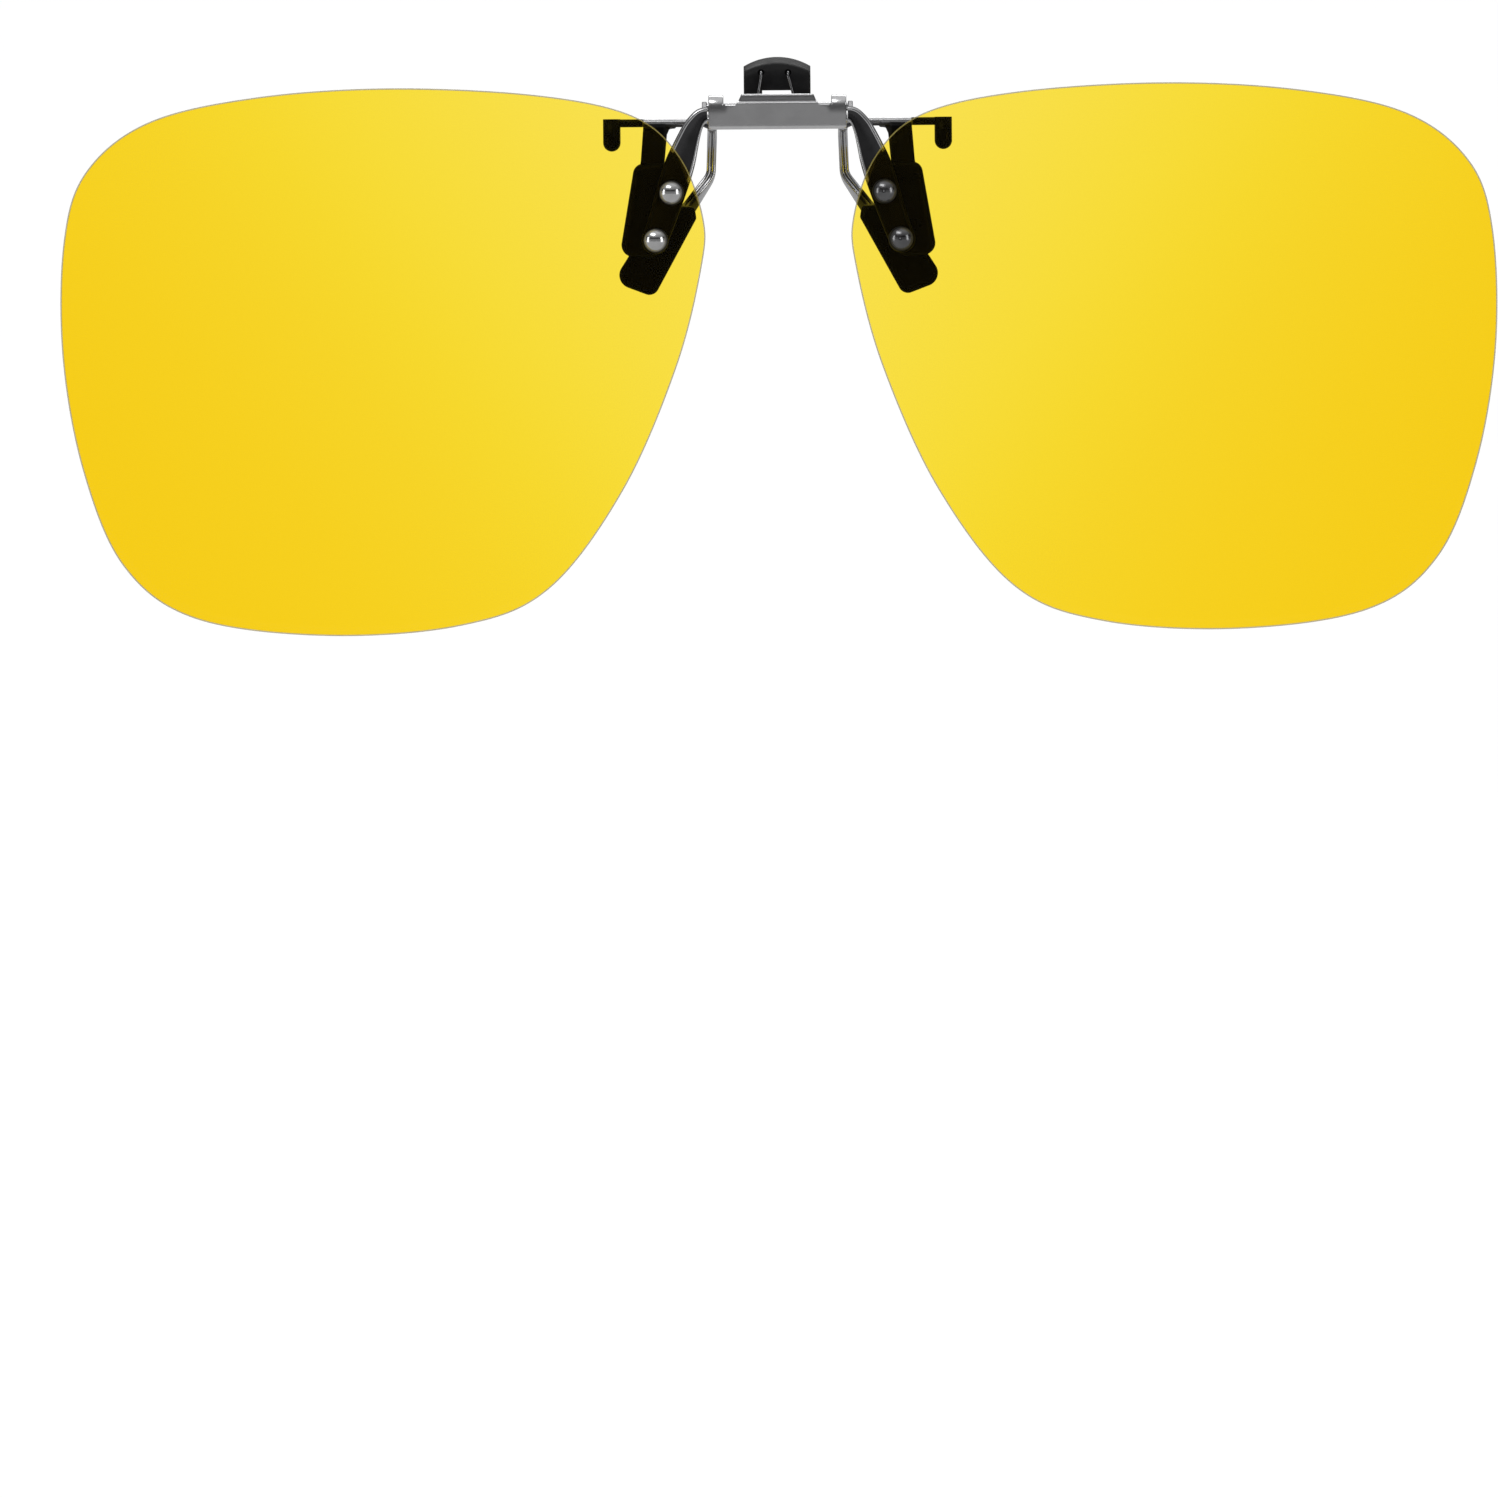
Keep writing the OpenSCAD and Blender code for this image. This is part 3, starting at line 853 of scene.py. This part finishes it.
def ridged_section(depth):
    """Strip section whose narrow edges have two rounded ridges with a groove of some depth between."""
    half, lobe, steps = CLAW_T / 2, 0.24, 8
    pts = []
    for sign in (1, -1):
        for which in (1, -1):
            for k in range(steps + (1 if which < 0 else 0)):
                a = math.pi * k / steps
                u = which * 0.5 + 0.5 * math.cos(a)
                ridged = lobe * math.sin(a)
                plain = lobe * max(0.0, 1 - abs(u) ** 3) ** (1 / 2)
                rise = ridged + (plain - ridged) * (1 - depth)
                pts.append((sign * (CLAW_W / 2 - lobe + rise), sign * u * half))
    return pts


def claw_bow(z):
    """How far the claw has moved outboard by height z: a slight lean, then a bend to a steeper one."""
    t = max(0.0, -z - 4.7)
    slope, length = 0.66, 1.2
    bend = slope * t * t / (2 * length) if t < length else slope * (t - length / 2)
    return bend + 0.035 * max(0.0, -z - 1.0)


def claw_path():
    """Middle line of a right-hand claw: from the rod, round behind and forward to the lower tip."""
    path = [Vector((CLAW_X, -0.45, 0.0)), Vector((CLAW_X, -0.2, 0.0))]
    for k in range(73):
        phi = math.pi * k / 72.0
        z = CLAW_R * math.cos(phi) - CLAW_R
        path.append(Vector((CLAW_X + claw_bow(z), CLAW_R * math.sin(phi), z)))
    for k in range(1, 5):
        path.append(path[-1] + Vector((0, -0.2, 0)))
    return path


def build_claw(side, label):
    """Ridged strip along the claw's path, with the eye that turns on the rod."""
    path = claw_path()
    rings = []
    for i, p in enumerate(path):
        t = (path[min(i + 1, len(path) - 1)] - path[max(i - 1, 0)]).normalized()
        across = Vector((1, 0, 0))
        across = (across - t * across.dot(t)).normalized()
        radial = across.cross(t)
        left = (len(path) - 1 - i) / GROOVE_FADE
        section = ridged_section(min(1.0, max(0.0, left - GROOVE_STOP)))
        rings.append([p + radial * a + across * b for a, b in section])
    eye = pillow([(0.0, 0.0, 0.9)], CLAW_X - CLAW_T / 2, CLAW_X + CLAW_T / 2, 0.12, along_x, 48)
    joined("hooked_claw_" + label, [sided(side, rings), sided(side, eye)], CLAW,
           "rear_jaw", "rear_claw_" + label, 60)


for side, label in SIDES:
    build_claw(side, label)

# ------------------------------------------------------------------ press tab


# Half width of the tab, width of its rounded sides, and radius of the arc of its top edge
TAB_HALF, TAB_EDGE, TAB_ARC = 3.35, 0.22, 6.45


def tab_profile():
    """Side view of the tab as (y, z): up the front, round the tip of the lip, down the back."""
    front = spline([(0.02, 1.6), (0.10, 3.0), (0.20, 4.2), (0.30, 4.9), (0.50, 5.45),
                    (0.95, 5.92), (1.75, 6.22), (2.75, 6.50)], 5)
    tip = spline([(2.75, 6.50), (3.02, 6.58), (3.18, 6.52), (3.20, 6.38), (3.08, 6.26)], 3)
    back = spline([(3.08, 6.26), (2.35, 6.02), (1.75, 5.62), (1.42, 5.05),
                   (1.30, 4.3), (1.28, 3.0), (1.28, 1.6)], 5)
    return front + tip[1:] + back[1:]


def tab_ring(x, prof):
    """The profile at station x: lowered to the arc, hollowed in front, pinched in at both sides."""
    top = 0.15 + math.sqrt(TAB_ARC**2 - x * x)
    near = max(0.0, (abs(x) - (TAB_HALF - TAB_EDGE)) / TAB_EDGE)
    pinch = 1 - math.sqrt(max(0.0, 1 - near * near))
    ring = []
    for q in prof:
        k = min(1.0, max(0.0, (q.y - 3.0) / 3.6))
        z = q.y - (6.6 - top) * k
        high = min(1.0, max(0.0, (q.y - 2.6) / 1.5))
        y = q.x - 0.18 * (x / TAB_HALF) ** 2 * high * (1 if q.x < 1.0 else 0)
        y = max(y, 0.0)
        mid_y = 0.64 if q.y < 5.0 else 0.64 + (q.y - 5.0) * 1.35
        y += (mid_y - y) * 0.75 * pinch
        ring.append((x, y, z))
    return ring


def tab_cutters():
    """Solids to take away: the opening over the saddle and the two sockets of the spring tips."""
    bpy.ops.mesh.primitive_cube_add(size=1, location=(0, 0.6 * MM, 2.1 * MM))
    box = bpy.context.object
    box.scale = (3.0 * MM, 4.0 * MM, 2.2 * MM)
    cutters = [box]
    for x in (-1.6, 1.1):
        bpy.ops.mesh.primitive_cylinder_add(
            vertices=32, radius=0.34 * MM, depth=1.6 * MM,
            location=(x * MM, 0.0, 4.98 * MM), rotation=(math.pi / 2, 0, 0))
        cutters.append(bpy.context.object)
    return cutters


def build_tab():
    """Thumb tab: hollowed face, lip that flares back and follows the arc of the top edge."""
    prof = tab_profile()
    xs = [TAB_HALF * math.sin(math.pi / 2 * k / 22) for k in range(-22, 23)]
    verts, faces = [], []
    skin([tab_ring(x, prof) for x in xs], verts, faces)
    o = mesh_object("flared_press_tab", verts, faces, [TAB])
    finish_normals(o)
    cutters = tab_cutters()
    for c in cutters:
        mod = o.modifiers.new("cut", "BOOLEAN")
        mod.object = c
        mod.operation = "DIFFERENCE"
        mod.solver = "EXACT"
    soft = o.modifiers.new("edges", "BEVEL")
    soft.width = 0.07 * MM
    soft.segments = 2
    soft.limit_method = "ANGLE"
    soft.angle_limit = math.radians(50)
    bpy.context.view_layer.update()
    done = bpy.data.meshes.new_from_object(o.evaluated_get(bpy.context.evaluated_depsgraph_get()))
    o.modifiers.clear()
    o.data = done
    for poly in done.polygons:
        poly.use_smooth = True
    done.set_sharp_from_angle(angle=math.radians(40))
    for c in cutters:
        bpy.data.objects.remove(c)
    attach(o, "rear_jaw")
    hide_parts("press_tab")


build_tab()


def corners(x0, x1, z0, z1):
    """Circles at the corners of an upright rectangle."""
    r = 0.25
    return [(x, z, r) for x in (x0 + r, x1 - r) for z in (z0 + r, z1 - r)]


def build_saddle():
    """Barrel on the rod and the stamped plate the press tab is moulded over."""
    parts = [pillow([(0.0, 0.0, 0.66)], -1.8, 1.8, 0.14, along_x, 48),
             pillow(corners(-1.8, 1.8, 0.3, 2.8), 0.35, 0.95, 0.12, along_y, 64),
             pillow(corners(-3.0, 3.0, 1.5, 2.8), 0.37, 0.93, 0.12, along_y, 64)]
    wing = pillow(corners(1.8, 3.0, 1.5, 4.3), 0.36, 0.94, 0.12, along_y, 64)
    parts += [sided(side, wing) for side, _ in SIDES]
    joined("stamped_tab_saddle", parts, SILVER, "rear_jaw", "tab_bracket")


build_saddle()

for side, label in SIDES:
    build_arm(side, label)

# ------------------------------------------------------------------ stage, light, camera


def sweep_backdrop():
    """Floor and back wall as one curved sheet."""
    floor_z, wall_y, r, half = -0.150, 4.2, 0.8, 5.0
    prof = [(-1.4, floor_z), (wall_y - r, floor_z)]
    for k in range(1, 17):
        a = math.pi / 2 * k / 16
        prof.append((wall_y - r + r * math.sin(a), floor_z + r - r * math.cos(a)))
    prof.append((wall_y, 5.0))
    verts = [(x, y, z) for y, z in prof for x in (-half, half)]
    faces = [(2 * i, 2 * i + 1, 2 * i + 3, 2 * i + 2) for i in range(len(prof) - 1)]
    me = bpy.data.meshes.new("backdrop")
    me.from_pydata(verts, [], faces)
    for poly in me.polygons:
        poly.use_smooth = True
    o = bpy.data.objects.new("backdrop", me)
    bpy.context.scene.collection.objects.link(o)
    m, nt, out = new_material("studio_white")
    p = principled(nt, out)
    p.inputs["Base Color"].default_value = (0.06, 0.06, 0.06, 1)
    p.inputs["Roughness"].default_value = 0.9
    p.inputs["Specular IOR Level"].default_value = 0.1
    p.inputs["Emission Color"].default_value = (1, 1, 1, 1)
    seen = nt.nodes.new("ShaderNodeLightPath").outputs["Is Camera Ray"]
    nt.links.new(remap(nt, seen, 0.0, 1.0, 0.45, 0.98), p.inputs["Emission Strength"])
    me.materials.append(m)


sweep_backdrop()


# Soft lights: name, place, point they face, width and height (metres), power (watts)
LIGHTS = (
    ("key_top", (-0.30, -0.45, 0.70), (0, 0, -0.01), (0.55, 0.25), 1.7),
    ("fill_right", (0.75, -0.55, 0.10), (0, 0, -0.02), (0.25, 0.7), 1.6),
    ("fill_left", (-0.85, -0.35, 0.05), (0, 0, -0.02), (0.20, 0.7), 1.4),
    ("back_top", (0.1, 0.50, 0.55), (0, 0, -0.02), (0.7, 0.25), 1.5),
)


def area(name, location, target, size, power):
    """Rectangular soft light turned to a point."""
    light = bpy.data.lights.new(name, "AREA")
    light.shape = "RECTANGLE"
    light.size, light.size_y = size
    light.energy = power
    o = bpy.data.objects.new(name, light)
    o.location = location
    o.rotation_euler = (Vector(target) - Vector(location)).to_track_quat("-Z", "Y").to_euler()
    bpy.context.scene.collection.objects.link(o)


for lamp in LIGHTS:
    area(*lamp)

# What polished metal reflects, as greys from straight below to straight above; dark band above level
SKY = [(0.0, 0.08), (0.45, 0.15), (0.54, 0.30), (0.59, 0.25), (0.625, 0.05), (0.72, 0.04),
       (0.76, 0.32), (0.86, 0.40), (0.92, 0.60), (1.0, 0.65)]


def studio_world():
    """Plain near-white for the camera, the graded sky for every other ray."""
    world = bpy.data.worlds.new("studio")
    world.use_nodes = True
    nt = world.node_tree
    graded = nt.nodes["Background"]
    sky = nt.nodes.new("ShaderNodeTexCoord")
    level = remap(nt, axes(nt, sky.outputs["Generated"])["Z"], -1.0, 1.0, 0.0, 1.0)
    nt.links.new(ramp(nt, level, SKY), graded.inputs["Color"])
    plain = nt.nodes.new("ShaderNodeBackground")
    plain.inputs["Color"].default_value = (0.99, 0.99, 0.99, 1)
    pick = nt.nodes.new("ShaderNodeMixShader")
    nt.links.new(nt.nodes.new("ShaderNodeLightPath").outputs["Is Camera Ray"], pick.inputs["Fac"])
    nt.links.new(graded.outputs["Background"], pick.inputs[1])
    nt.links.new(plain.outputs["Background"], pick.inputs[2])
    nt.links.new(pick.outputs["Shader"], nt.nodes["World Output"].inputs["Surface"])
    bpy.context.scene.world = world


studio_world()

# The camera stands in front of the part at lens height and looks slightly down.
# Metres and radians, the sensor in millimetres.
AIM_X, AIM_Z, EYE_Z = -3.34 * MM, -62.68 * MM, -22.0 * MM
ROLL = 0.00785
DISTANCE = 2.0
PLANE_Y = -4.5 * MM
SENSOR, FRAME_WIDTH = 36.0, 0.1498


def studio_camera():
    """Camera whose square frame is FRAME_WIDTH wide at the point it looks at."""
    data = bpy.data.cameras.new("camera")
    cam = bpy.data.objects.new("camera", data)
    bpy.context.scene.collection.objects.link(cam)
    bpy.context.scene.camera = cam
    aim = Vector((AIM_X, PLANE_Y, AIM_Z))
    eye = Vector((AIM_X, PLANE_Y - DISTANCE, EYE_Z))
    view_dir = (aim - eye).normalized()
    level = view_dir.cross(Vector((0, 0, 1))).normalized()
    up = level.cross(view_dir)
    right = level * math.cos(ROLL) - up * math.sin(ROLL)
    top = up * math.cos(ROLL) + level * math.sin(ROLL)
    turn = Matrix((right, top, -view_dir)).transposed().to_4x4()
    cam.matrix_world = Matrix.Translation(eye) @ turn
    data.sensor_width = SENSOR
    data.sensor_fit = "HORIZONTAL"
    data.lens = SENSOR * (aim - eye).length / FRAME_WIDTH
    data.clip_start = 0.01
    data.clip_end = 50.0


studio_camera()

bpy.context.scene.view_settings.view_transform = "Standard"
bpy.context.scene.view_settings.look = "None"
